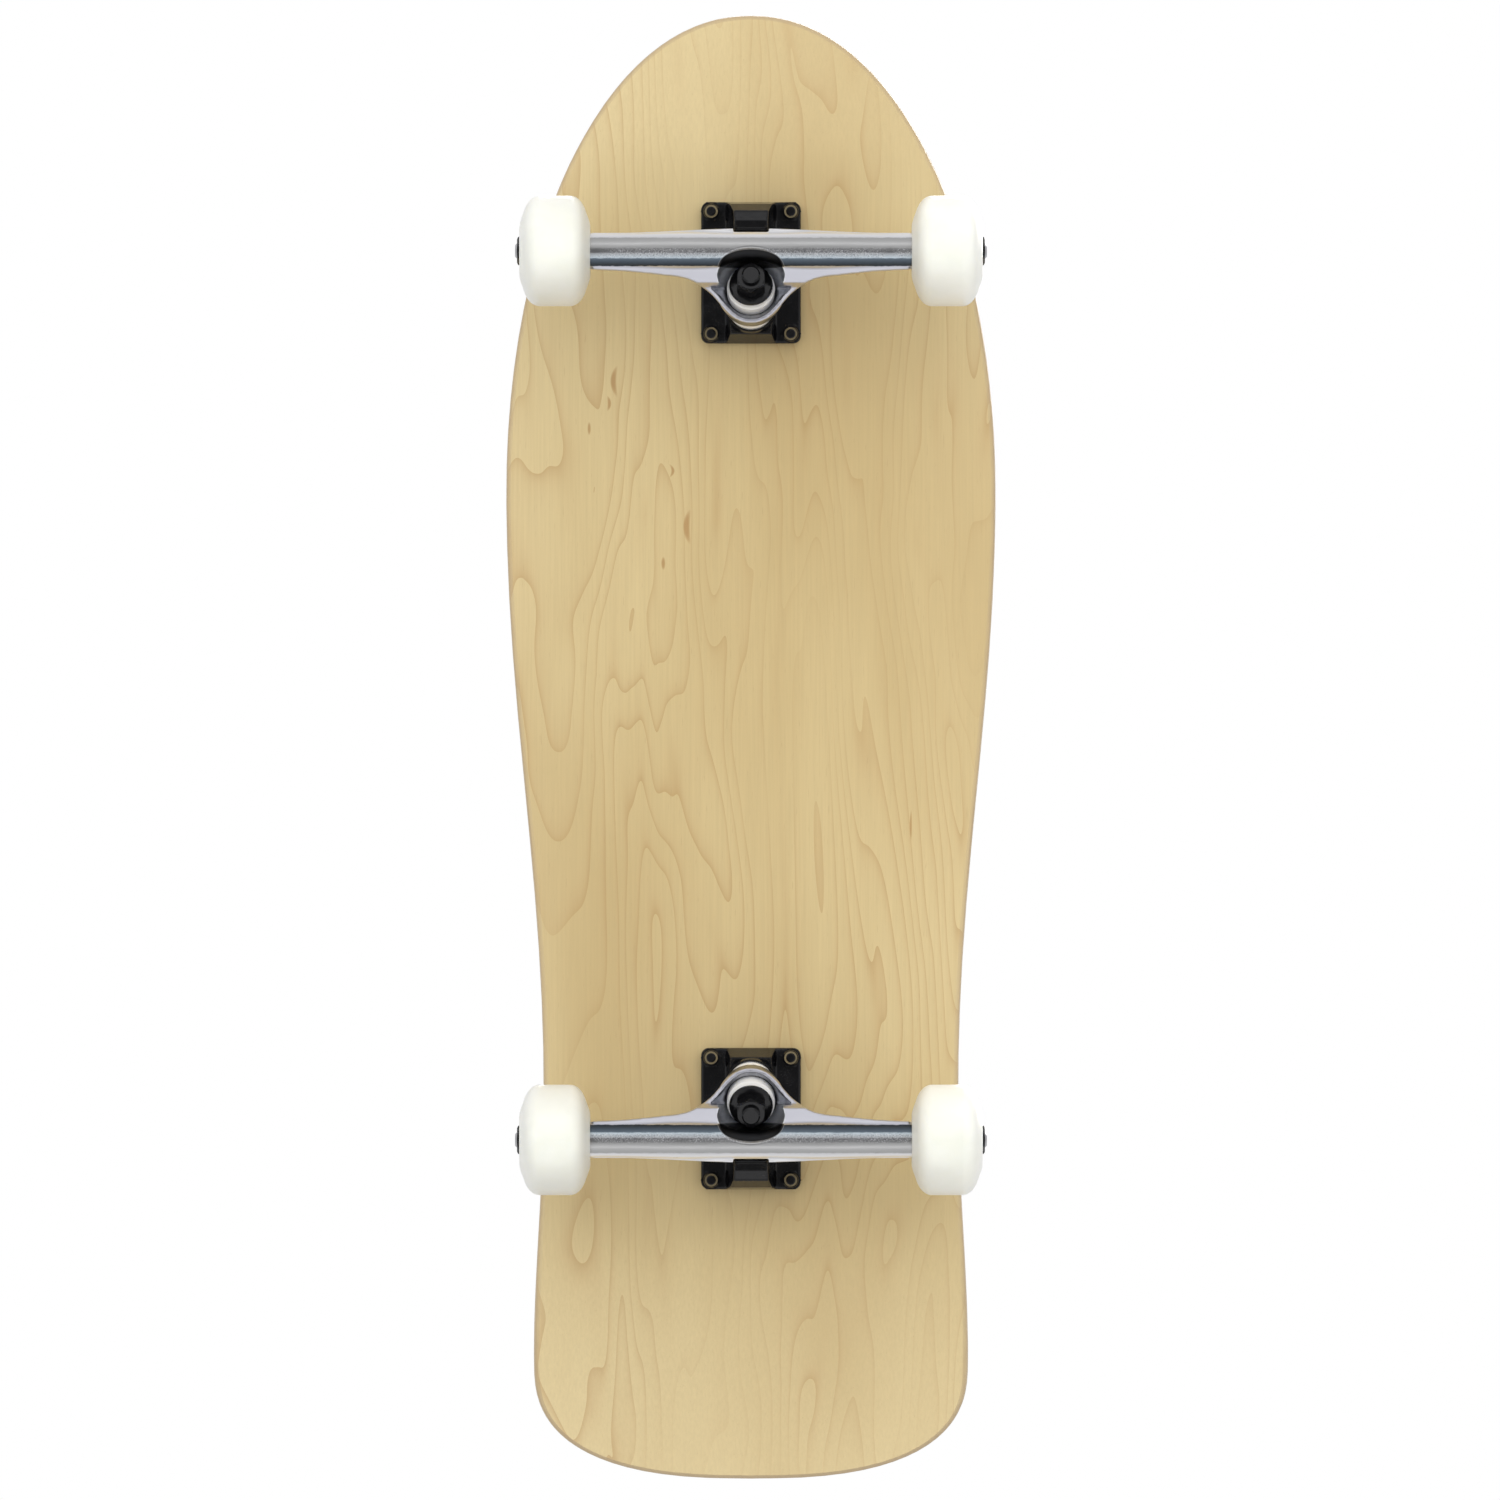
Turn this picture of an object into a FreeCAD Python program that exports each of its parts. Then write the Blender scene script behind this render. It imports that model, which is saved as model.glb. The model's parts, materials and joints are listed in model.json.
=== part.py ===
import FreeCAD, Part
import math
import os
from BOPTools import SplitAPI
from FreeCAD import Matrix, Vector

# A complete skateboard: a seven ply maple deck with grip tape, and two steering trucks
# that carry four wheels on ball bearings. Millimetres, +Z up, wheels on Z = 0.
# The nose points to -Y and the tail to +Y.

# ---------------------------------------------------------------- driving sizes

# deck
NOSE_TIP_Y = -382.1         # of the lower face; the edge leans in to give 762 overall
TAIL_TIP_Y = 382.35
PLY = 1.5875
PLIES = 7
WIDE_Y = -134.0            # where the deck is widest
WIDE_HALF = 127.8
WAIST_Y = 177.0            # narrowest place ahead of the tail
WAIST_HALF = 108.2
TAIL_Y = 321.0             # where the round of the tail begins
TAIL_HALF = 113.3
NOSE_POWER = 2.1           # superellipse exponents of the two ends
TAIL_POWER = 2.6
CONCAVE = 6.8              # rise of the rails at FLAT_HALF + CONCAVE_RUN from the middle
CONCAVE_RUN = 99.0
CONCAVE_POWER = 2.5
FLAT_HALF = 28.0
NOSE_BEND_Y = -297.0
NOSE_BEND_R = 100.0
NOSE_ANGLE = math.radians(14.0)
TAIL_BEND_Y = 240.0
TAIL_BEND_R = 120.0
TAIL_ANGLE = math.radians(20.0)
KICK_CONCAVE = 0.45        # share of the concave that is left at the tips
EDGE_ROUND = 3.0
EDGE_PARTS = 8
GRIP = 0.8
GRIP_INSET = 3.3
GRIP_FLAT = 0.03           # the standing area is pressed this much flatter

# trucks on the deck
AXLE_HEIGHT = 28.5         # the wheel radius
AXLE_DROP = 54.0           # deck face of the baseplate to the axle
FRONT_Y = -246.65          # baseplate centres
REAR_Y = 192.15
BASE_GAP = 0.05
HOLE_X = 20.64             # half the bolt pattern
HOLE_V = 31.75
HOLE_CLEAR = 0.1
AXLE_V = 9.85              # axle outboard of the baseplate centre

# baseplate
BASE_X = 51.8
BASE_V = 73.4
BASE_T = 6.0
BASE_CORNER = 4.0
RIDGE_FOOT = 12.5
RIDGE_TOP = 8.6
RIDGE_TOP_W = 30.0

# steering geometry, in the kingpin's own frame (x, y, s)
TILT = 22.0
KINGPIN_V = -25.55         # where the kingpin line meets the deck face
PIVOT_S = 34.0             # height of the steering axis along the kingpin
KINGPIN_R = 4.76
HEX_AF = 14.3
HEAD_S = (3.4, 9.0)
BOSS_S = 14.0
LOWER_CUP_S = 15.6
RING_S = (31.0, 37.0)
UPPER_CUP_S = 48.6
NUT_S = 50.2
KINGPIN_NUT = 9.3
KINGPIN_TIP_S = 62.5
CUP_R = 11.3
CUP_T = 1.6
BUSHING_R = 12.5
BUSHING_GAP = 0.1
PIVOT_R = 5.5
PIVOT_Y = 39.5             # centre of the ball end of the pivot
PIVOT_CLEAR = 0.06
PIVOT_CUP_R = 7.5
PIVOT_CUP_Y = (33.6, 46.4)

# hanger and axle, along the lateral axis
RECESS_R = 13.1
RING_HOLE_R = 8.0
DISH_S = 39.4              # floor of the dished face around the ring
DISH_V = -8.2              # where the dish ends against the web
RIM = 2.0                  # width of the rim left around the dish
HANGER_END = 86.65
HANGER_END_R = 9.5
HANGER_MID_R = 9.9
WEB_END = 81.5
NOTCH_HALF = 9.2           # the notch in the outboard flange, over the pivot
NOTCH_REACH = 9.7
AXLE_R = 3.97
AXLE_TIP = 121.65
WASHER_T = 1.0
BEARING_W = 7.0
SPACER = 10.0
AXLE_NUT = 8.0
AXLE_NUT_AF = 12.7
FIT = 0.02                 # radial room between pieces that are fixed together

# wheel
WHEEL_R = 28.5
WHEEL_HALF = 18.25
WHEEL_MID = 101.15
TREAD_HALF = 8.0
SEAT_R = 11.0
SHOULDER_R = 9.5

# bearing
RACE_IN = (4.0, 6.3)
RACE_OUT = (8.7, 11.0)
PITCH_R = 7.5
BALL_R = 1.984
GROOVE_R = 2.02
BALLS = 7
CAGE_R = (6.75, 8.25)
CAGE_X = (-2.6, 0.6)
CAGE_CLEAR = 0.08
SHIELD_R = (6.6, 8.69)
SHIELD_X = (2.9, 3.2)

# mounting bolts
BOLT_R = 2.41
BOLT_LENGTH = 25.4
BOLT_HEAD_R = 4.75
BOLT_HEAD_H = 2.7
SMALL_AF = 9.5
SMALL_NUT = 6.2

X = Vector(1, 0, 0)
Y = Vector(0, 1, 0)
Z = Vector(0, 0, 1)
ORIGIN = Vector(0, 0, 0)
DECK_Z = AXLE_HEIGHT + AXLE_DROP + BASE_GAP
DECK_T = PLY * PLIES


# ---------------------------------------------------------------- small helpers

def fuse(shapes):
    joined = shapes[0].multiFuse(shapes[1:]) if len(shapes) > 1 else shapes[0]
    return joined.removeSplitter()


def group(shapes):
    """Separate solids that share one node."""
    solids = [solid for shape in shapes for solid in shape.Solids]
    return solids[0] if len(solids) == 1 else Part.makeCompound(solids)


def ring(r_out, r_in, start, end, axis=X):
    """A plain ring from start to end along an axis through the origin."""
    outer = Part.makeCylinder(r_out, end - start, axis * start, axis)
    if r_in <= 0:
        return outer
    return outer.cut(Part.makeCylinder(r_in, end - start, axis * start, axis))


def turned(points, axis=Z):
    """A solid of revolution about Z (or X) from (radius, height) corners."""
    if axis == Z:
        corners = [Vector(r, 0, h) for r, h in points]
    else:
        corners = [Vector(h, 0, r) for r, h in points]
    face = Part.Face(Part.makePolygon(corners + corners[:1]))
    return face.revolve(ORIGIN, axis, 360)


def hexagon(across, start, end, axis=Z, spin=0.0):
    """A hexagonal bar, flats across apart, from start to end along Z or X."""
    corner = across / math.sqrt(3)
    angles = [math.radians(60 * k + spin) for k in range(7)]
    points = [Vector(corner * math.cos(a), corner * math.sin(a), start) for a in angles]
    bar = Part.Face(Part.makePolygon(points)).extrude(Z * (end - start))
    if axis == X:
        bar.rotate(ORIGIN, Y, 90)
    return bar


def hex_nut(across, height, hole, crest, spin=0.0):
    """A hex nut along Z with turned chamfers, from 0 up to height."""
    corner = across / math.sqrt(3)
    cone = (corner - crest) * math.tan(math.radians(30))
    blank = turned([(0, 0), (crest, 0), (corner, cone), (corner, height - cone),
                    (crest, height), (0, height)])
    body = hexagon(across, 0, height, Z, spin).common(blank)
    return body.cut(Part.makeCylinder(hole, height))


# ---------------------------------------------------------------- deck

def ease(a, b, t):
    """Cosine step from a to b as t goes from 0 to 1."""
    t = min(max(t, 0.0), 1.0)
    return a + (b - a) * (1 - math.cos(math.pi * t)) / 2


def outline(inset=0.0):
    """The deck outline as (x, y), round from the nose tip past +X to the tail and back."""
    side = []
    for k in range(15):
        turn = math.radians(90 * k / 15)
        x = (WIDE_HALF - inset) * math.sin(turn) ** (2 / NOSE_POWER)
        side.append((x, WIDE_Y - (WIDE_Y - NOSE_TIP_Y - inset) * math.cos(turn)))
    for k in range(15):
        y = WIDE_Y + (TAIL_Y - WIDE_Y) * k / 15
        waist = ease(WIDE_HALF, WAIST_HALF, (y - WIDE_Y) / (WAIST_Y - WIDE_Y))
        flare = ease(0.0, TAIL_HALF - WAIST_HALF, (y - WAIST_Y) / (TAIL_Y - WAIST_Y))
        side.append((waist + flare - inset, y))
    for k in range(12):
        turn = math.radians(90 * k / 12)
        x = (TAIL_HALF - inset) * math.cos(turn) ** (2 / TAIL_POWER)
        y = (TAIL_TIP_Y - inset - TAIL_Y) * math.sin(turn) ** (2 / TAIL_POWER)
        side.append((x, TAIL_Y + y))
    side.append((0.0, TAIL_TIP_Y - inset))
    return side + [(-x, y) for x, y in side[-2:0:-1]]


def kick(run, radius, angle):
    """Rise of a bend followed by a straight ramp, run along the flat."""
    if run <= 0:
        return 0.0
    bend = radius * math.sin(angle)
    if run < bend:
        return radius - math.sqrt(radius ** 2 - run ** 2)
    return radius * (1 - math.cos(angle)) + (run - bend) * math.tan(angle)


def deck_height(x, y):
    """Height of the deck's lower face above its flat middle."""
    rise = kick(NOSE_BEND_Y - y, NOSE_BEND_R, NOSE_ANGLE)
    rise += kick(y - TAIL_BEND_Y, TAIL_BEND_R, TAIL_ANGLE)
    into_kick = max(NOSE_BEND_Y - y, y - TAIL_BEND_Y) / (NOSE_BEND_Y - NOSE_TIP_Y)
    share = ease(1.0, KICK_CONCAVE, into_kick)
    edge = max(abs(x) - FLAT_HALF, 0.0) / CONCAVE_RUN
    return rise + share * CONCAVE * edge ** CONCAVE_POWER


def deck_normal(x, y):
    step = 0.5
    dx = (deck_height(x + step, y) - deck_height(x - step, y)) / (2 * step)
    dy = (deck_height(x, y + step) - deck_height(x, y - step)) / (2 * step)
    normal = Vector(-dx, -dy, 1)
    return normal.normalize()


def deck_point(x, y, up):
    return Vector(x, y, DECK_Z + deck_height(x, y)) + deck_normal(x, y) * up


def deck_sheet(up):
    """A smooth face parallel to the deck's lower face, larger than the deck."""
    xs = [-138 + 276 * k / 20 for k in range(21)]
    ys = [-396 + 792 * k / 60 for k in range(61)]
    surface = Part.BSplineSurface()
    surface.interpolate([[deck_point(x, y, up) for y in ys] for x in xs])
    return surface.toShape()


def deck_slab(lower, upper):
    """The solid between two parallel sheets."""
    floor = deck_sheet(lower)
    roof = deck_sheet(upper)
    walls = [Part.makeRuledSurface(a, b) for a, b in zip(floor.OuterWire.Edges, roof.OuterWire.Edges)]
    shell = Part.makeShell([floor, roof] + walls)
    shell.sewShape()
    solid = Part.makeSolid(shell)
    solid.fix(1e-4, 1e-4, 1e-3)
    return solid


def edge_rail(inset, up, round_by):
    """The outline at one height, drawn in by round_by, as a closed wire of four edges."""
    points = outline(inset)
    count = len(points)
    moved = []
    for k, (x, y) in enumerate(points):
        before, after = points[k - 1], points[(k + 1) % count]
        along = math.hypot(after[0] - before[0], after[1] - before[1])
        out_x, out_y = (before[1] - after[1]) / along, (after[0] - before[0]) / along
        moved.append(deck_point(x + out_x * round_by, y + out_y * round_by, up))
    curve = Part.BSplineCurve()
    curve.interpolate(moved, PeriodicFlag=True)
    cuts = [curve.parameter(moved[round(count * k / EDGE_PARTS)]) for k in range(EDGE_PARTS)]
    cuts.append(curve.LastParameter)
    return Part.Wire([curve.toShape(a, b) for a, b in zip(cuts, cuts[1:])])


def outline_wall(inset, thickness, lower, round_by):
    """The bowed edge of a layer, standing square to the deck all along the outline."""
    rails = []
    for share in (-0.1, 0.06, 0.22, 0.5, 0.78, 0.94, 1.1):
        rails.append(edge_rail(inset, lower + share * thickness, round_by * abs(2 * share - 1) ** 4))
    return Part.makeLoft(rails, False, False)


def trimmed(slab, wall):
    """What is inside the outline."""
    pieces = SplitAPI.slice(slab, [wall], "Split").Solids
    return min(pieces, key=lambda piece: piece.BoundBox.YLength)


def bolt_places():
    """Centres of the eight bolts on the deck."""
    return [(x, y + v) for y in (FRONT_Y, REAR_Y) for x in (-HOLE_X, HOLE_X) for v in (-HOLE_V, HOLE_V)]


def bolt_hole(x, y, sunk):
    """What a bolt takes out of a layer: a plain hole, or one that opens into a countersink."""
    narrow = BOLT_R + HOLE_CLEAR
    top = DECK_T + GRIP
    past = 2.0
    if not sunk:
        hole = ring(narrow, 0, -past, top + past, Z)
    else:
        slope = (BOLT_HEAD_R - BOLT_R) / BOLT_HEAD_H
        wide = narrow + slope * (BOLT_HEAD_H + past)
        corners = [(0, -past), (narrow, -past), (narrow, top - BOLT_HEAD_H), (wide, top + past), (0, top + past)]
        hole = turned(corners).toNurbs()
    hole.translate(Vector(x, y, DECK_Z))
    return hole


def make_deck():
    wall = outline_wall(0.0, DECK_T, 0.0, EDGE_ROUND)
    blank = trimmed(deck_slab(0.0, DECK_T), wall)
    layers = SplitAPI.slice(blank, [deck_sheet(PLY * k) for k in range(1, PLIES)], "Split").Solids
    layers.sort(key=lambda layer: layer.CenterOfMass.z)
    grip_wall = outline_wall(GRIP_INSET, DECK_T, DECK_T / 2, 0.0)
    layers.append(trimmed(deck_slab(DECK_T, DECK_T + GRIP), grip_wall))
    clear = BASE_V / 2 + 12
    flat = Part.makeBox(FLAT_HALF, REAR_Y - FRONT_Y - 2 * clear, 1.0)
    flat.translate(Vector(-FLAT_HALF / 2, FRONT_Y + clear, DECK_Z + DECK_T + GRIP - GRIP_FLAT))
    names = ["deck_ply_%d" % (k + 1) for k in range(PLIES)] + ["grip_tape"]
    first_sunk = int((DECK_T + GRIP - BOLT_HEAD_H) / PLY)
    nodes = {}
    for k, (name, layer) in enumerate(zip(names, layers)):
        nodes[name] = layer.cut([bolt_hole(x, y, k >= first_sunk) for x, y in bolt_places()])
    nodes["grip_tape"] = nodes["grip_tape"].cut(flat)
    return nodes


# ---------------------------------------------------------------- trucks
# Each truck is drawn once in its own frame: x across the board, y outboard towards the
# deck's end, z away from the deck, from the middle of the baseplate's deck face.

def on_kingpin(shape):
    """From the kingpin's frame, drawn along +Z, to the truck frame."""
    shape = shape.copy()
    shape.rotate(ORIGIN, X, -TILT)
    shape.translate(Vector(0, KINGPIN_V, 0))
    return shape


def on_pivot(shape):
    """From a frame whose +Y runs down the pivot, to the truck frame."""
    shape = shape.copy()
    shape.translate(Vector(0, 0, PIVOT_S))
    return on_kingpin(shape)


def along_pivot(points):
    """A solid turned about the steering axis from (radius, y) corners."""
    corners = [Vector(r, y, 0) for r, y in points]
    solid = Part.Face(Part.makePolygon(corners + corners[:1])).revolve(ORIGIN, Y, 360)
    return on_pivot(solid)


def kingpin_point(y, s):
    """Truck frame (y, z) of a point in the kingpin's frame."""
    tilt = math.radians(TILT)
    return (KINGPIN_V + y * math.cos(tilt) + s * math.sin(tilt), s * math.cos(tilt) - y * math.sin(tilt))


def side_prism(points, half_width):
    """A (y, z) outline extruded across the board."""
    corners = [Vector(-half_width, y, z) for y, z in points]
    return Part.Face(Part.makePolygon(corners + corners[:1])).extrude(X * 2 * half_width)


def make_baseplate():
    plate = Part.makeBox(BASE_X, BASE_V, BASE_T, Vector(-BASE_X / 2, -BASE_V / 2, 0))
    corners = [e for e in plate.Edges if abs(e.Length - BASE_T) < 0.01]
    plate = plate.makeFillet(BASE_CORNER, corners)
    plate = plate.makeFillet(1.3, [e for e in plate.Edges if e.BoundBox.ZMin > BASE_T - 0.01])
    end = BASE_V / 2 - 0.2
    boss = [kingpin_point(y, BOSS_S) for y in (-12.4, 12.6)]
    mouth = [kingpin_point(PIVOT_CUP_Y[0] - 0.6, s) for s in (PIVOT_S - 9.5, PIVOT_S + 10.6)]
    side = [(-end, 0.0), (-end, BASE_T - 0.5), boss[0], boss[1], (mouth[0][0] - 2.0, mouth[0][1]),
            mouth[0], mouth[1], (mouth[1][0] + 4.5, mouth[1][1] + 0.3), (end - 4.9, 27.0), (end - 1.0, 17.5),
            (end, BASE_T - 0.5), (end, 0.0)]
    profile = side_prism(side, RIDGE_FOOT + 4)
    half = [RIDGE_FOOT + 1.4, RIDGE_FOOT, RIDGE_TOP, -RIDGE_TOP, -RIDGE_FOOT, -RIDGE_FOOT - 1.4]
    high = [0.0, BASE_T, RIDGE_TOP_W, RIDGE_TOP_W, BASE_T, 0.0]
    section = [Vector(x, -BASE_V, z) for x, z in zip(half, high)]
    ridge = Part.Face(Part.makePolygon(section + section[:1])).extrude(Y * 2 * BASE_V).common(profile)
    ridge = softened(ridge, 0.9, lambda e: e.BoundBox.ZMin > BASE_T + 0.5)
    plate = plate.fuse(ridge)
    seat = on_kingpin(ring(CUP_R + 0.9, 0, BOSS_S - 0.01, BOSS_S + 20, Z))
    plate = plate.cut(seat)
    socket = on_kingpin(hexagon(HEX_AF + 0.3, -12, HEAD_S[1], Z, 0))
    plate = plate.cut(socket)
    plate = plate.cut(on_kingpin(ring(KINGPIN_R + FIT, 0, -5, BOSS_S + 10, Z)))
    plate = plate.cut(pivot_cup_blank(PIVOT_CUP_R + FIT, PIVOT_CUP_Y[1] + FIT, -10))
    for x in (-HOLE_X, HOLE_X):
        for y in (-HOLE_V, HOLE_V):
            plate = plate.cut(Part.makeCylinder(BOLT_R + 0.2, BASE_T + 2, Vector(x, y, -1)))
    return plate.removeSplitter()


def softened(shape, radius, chosen):
    """Rounded edges where the shape allows them, otherwise the shape as it is."""
    edges = [e for e in shape.Edges if chosen(e)]
    for size in (radius, radius / 2):
        try:
            soft = shape.makeFillet(size, edges)
        except Exception:
            continue
        if soft.isValid() and soft.Solids:
            return soft
    return shape


def pivot_cup_blank(radius, bottom, reach=0.0):
    """The round-ended plug that the pivot cup fills, from reach before its mouth."""
    start = PIVOT_CUP_Y[0] + reach
    return along_pivot([(0, start), (radius, start), (radius, bottom - 3.5), (radius - 1.2, bottom - 1.2),
                        (radius - 3.5, bottom), (0, bottom)])


def pivot_nose(radius, start):
    """The ball-ended peg on the hanger, or the hollow it turns in."""
    peg = Part.makeCylinder(radius, PIVOT_Y - start, Y * start, Y)
    return on_pivot(peg.fuse(Part.makeSphere(radius, Y * PIVOT_Y)))


def make_pivot_cup():
    cup = pivot_cup_blank(PIVOT_CUP_R, PIVOT_CUP_Y[1])
    return cup.cut(pivot_nose(PIVOT_R + PIVOT_CLEAR, PIVOT_CUP_Y[0] - 2))


def make_kingpin():
    head = hexagon(HEX_AF, HEAD_S[0], HEAD_S[1], Z, 0)
    length = KINGPIN_TIP_S - HEAD_S[1] + 1
    shank = Part.makeCylinder(KINGPIN_R, length, Z * (HEAD_S[1] - 1))
    tip = [e for e in shank.Edges if e.BoundBox.ZMin > KINGPIN_TIP_S - 0.01]
    return on_kingpin(head.fuse(shank.makeChamfer(0.8, tip)))


def make_kingpin_nut():
    nut = hex_nut(HEX_AF, KINGPIN_NUT, KINGPIN_R + FIT, HEX_AF / 2 - 0.2, 30)
    nut.translate(Z * NUT_S)
    return on_kingpin(nut)


def make_cup_washers():
    lower = turned([(KINGPIN_R + 0.2, 0), (CUP_R + 0.6, 0), (CUP_R + 1.4, 0.8), (CUP_R + 1.4, 3.2),
                    (CUP_R + 0.6, 3.2), (CUP_R + 0.2, CUP_T), (KINGPIN_R + 0.2, CUP_T)])
    lower.translate(Z * BOSS_S)
    upper = turned([(KINGPIN_R + 0.2, UPPER_CUP_S), (CUP_R - 1.9, UPPER_CUP_S), (CUP_R - 1.1, UPPER_CUP_S - 1.3),
                    (CUP_R - 0.3, UPPER_CUP_S - 1.4), (CUP_R, UPPER_CUP_S - 0.8), (CUP_R - 0.2, UPPER_CUP_S + 0.5),
                    (CUP_R - 1.0, NUT_S - 0.1), (CUP_R - 2.4, NUT_S - 0.01), (KINGPIN_R + 0.2, NUT_S - 0.01)])
    return group([on_kingpin(lower), on_kingpin(upper)])


def make_bushing(start, end, narrow_end):
    """A urethane bushing, waisted in at the end that sits in the smaller cup washer."""
    hole = KINGPIN_R + 0.25
    tall = end - start
    if narrow_end:
        points = [(hole, 0), (BUSHING_R - 0.6, 0), (BUSHING_R - 0.2, 0.8), (BUSHING_R, tall * 0.45),
                  (BUSHING_R - 0.15, tall * 0.66), (CUP_R - 2.1, tall - 2.0), (CUP_R - 2.1, tall), (hole, tall)]
    else:
        points = [(hole, 0), (CUP_R - 0.1, 0), (CUP_R + 0.1, 3.4), (BUSHING_R - 0.1, 5.0), (BUSHING_R, tall * 0.6),
                  (BUSHING_R - 0.3, tall - 0.6), (BUSHING_R - 0.8, tall), (hole, tall)]
    bush = turned(points)
    bush.translate(Z * start)
    return on_kingpin(bush)


def make_mount_bolts():
    """Flat-head cross-recessed machine screws, heads flush with the grip tape."""
    top = -(DECK_T + GRIP + BASE_GAP)
    bolts = []
    for x in (-HOLE_X, HOLE_X):
        for y in (-HOLE_V, HOLE_V):
            head = Part.makeCone(BOLT_HEAD_R, BOLT_R, BOLT_HEAD_H, Vector(0, 0, 0.1))
            shank = Part.makeCylinder(BOLT_R, BOLT_LENGTH - 0.1, Vector(0, 0, 0.1))
            end = [e for e in shank.Edges if e.BoundBox.ZMin > BOLT_LENGTH - 0.01]
            bolt = head.fuse(shank.makeChamfer(0.5, end))
            for spin in (0, 90):
                slot = Part.makeBox(5.0, 0.9, 1.7, Vector(-2.5, -0.45, 0))
                slot.rotate(ORIGIN, Z, spin)
                bolt = bolt.cut(slot)
            bolt.translate(Vector(x, y, top))
            bolts.append(bolt)
    return group(bolts)


def make_mount_nuts():
    """Lock nuts with a turned collar, and the nylon rings held in them."""
    nuts = []
    inserts = []
    for x in (-HOLE_X, HOLE_X):
        for y in (-HOLE_V, HOLE_V):
            nut = hex_nut(SMALL_AF, SMALL_NUT - 1.6, BOLT_R + FIT, SMALL_AF / 2, 0)
            collar = Part.makeCone(SMALL_AF / 2 - 0.35, 3.75, 1.6, Z * (SMALL_NUT - 1.6))
            nut = nut.fuse(collar.cut(Part.makeCylinder(3.4, 3, Z * (SMALL_NUT - 1.6))))
            insert = ring(3.4 - FIT, BOLT_R + FIT, SMALL_NUT - 1.6, SMALL_NUT - 0.25, Z)
            for piece, pieces in ((nut, nuts), (insert, inserts)):
                piece.translate(Vector(x, y, BASE_T + 0.01))
                pieces.append(piece)
    return group(nuts), group(inserts)


def smooth_profile(stretches):
    """A closed (radius, x) profile: two points make a line, more make a smooth curve."""
    edges = []
    for stretch in stretches:
        points = [Vector(x, 0, r) for r, x in stretch]
        if len(points) == 2:
            edges.append(Part.makeLine(points[0], points[1]))
        else:
            curve = Part.BSplineCurve()
            curve.interpolate(points)
            edges.append(curve.toShape())
    return Part.Face(Part.Wire(edges))


def mirrored_x(shape):
    flip = Matrix()
    flip.A11 = -1
    return shape.transformGeometry(flip)


def on_axle(shape):
    shape = shape.copy()
    shape.translate(Vector(0, AXLE_V, AXLE_DROP))
    return shape


def make_tube():
    end = HANGER_END - 0.5
    half = [[(0, 0), (0, HANGER_END)],
            [(0, HANGER_END), (HANGER_END_R - 0.5, HANGER_END)],
            [(HANGER_END_R - 0.5, HANGER_END), (HANGER_END_R, end)],
            [(HANGER_END_R, end), (HANGER_END_R + 0.05, 62), (10.2, 30), (HANGER_MID_R - 0.1, 10), (HANGER_MID_R, 0)],
            [(HANGER_MID_R, 0), (0, 0)]]
    right = smooth_profile(half).revolve(ORIGIN, X, 360)
    return on_axle(right), on_axle(mirrored_x(right))


def drawn_in(points, inset):
    """The points of an open line moved square to it, towards the side on its right."""
    moved = []
    for k, point in enumerate(points):
        along = points[min(k + 1, len(points) - 1)] - points[max(k - 1, 0)]
        moved.append(point + Vector(along.y, -along.x, 0).normalize() * inset)
    return moved


def web_plan(inset=0.0):
    """The web seen along Z: thinning towards the wheels, drawn out into the ring inboard."""
    inboard = [(WEB_END, 9.5), (60, 10.8), (45, 12.4), (31, 15.0), (25.5, 18.0), (20, 22.4), (16, 27.0),
               (11.6, 31.9), (6.2, 35.6), (0, 36.8)]
    outboard = [(WEB_END, 9.3), (47, 10.0), (20, 11.2), (0, 11.6)]
    edges = []
    for reach, sign in ((inboard, -1), (outboard, 1)):
        both = reach + [(-x, d) for x, d in reach[-2::-1]]
        curve = Part.BSplineCurve()
        curve.interpolate(drawn_in([Vector(x, AXLE_V + sign * d, 0) for x, d in both[::-sign]], inset))
        edges.append(curve.toShape())
    lines = [Part.makeLine(edges[0].lastVertex().Point, edges[1].firstVertex().Point),
             Part.makeLine(edges[1].lastVertex().Point, edges[0].firstVertex().Point)]
    return Part.Face(Part.Wire([edges[0], lines[0], edges[1], lines[1]]))


def make_web():
    """The flat web along the tube, sloped down to the ring inboard and thin over the pivot."""
    side = [(12, 56.2), (6, 57.4), (2, 59.2), (-8.0, 59.2), (-9.2, 58.6), (-16.4, 55.6), (-18.6, 50.5), (-26, 47.4),
            (-37.5, 44.4), (-37.5, 37.5), (-33, 30), (-12, 29), (-4, 40), (2, 46), (12, 50)]
    front = [(84, 66), (84, 48.5), (52, 47.0), (40, 44.8), (31, 40.6), (24, 35), (18, 30.4), (12, 28)]
    corners = [Vector(x, -60, z) for x, z in front + [(-x, z) for x, z in reversed(front)]]
    face = Part.Face(Part.makePolygon(corners + corners[:1]))
    body = side_prism([(AXLE_V + v, z) for v, z in side], 90).common(face.extrude(Y * 90))
    return body.common(web_plan().extrude(Z * 80))


def dish():
    """The dished road-side face around the ring, inside a narrow rim."""
    inside = web_plan(RIM).extrude(Z * 80)
    inboard = Part.makeBox(80, 60, 60, Vector(-40, DISH_V - 60, 20))
    return on_kingpin(Part.makeBox(80, 80, 30, Vector(-40, -40, DISH_S))).common(inside).common(inboard)


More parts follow.
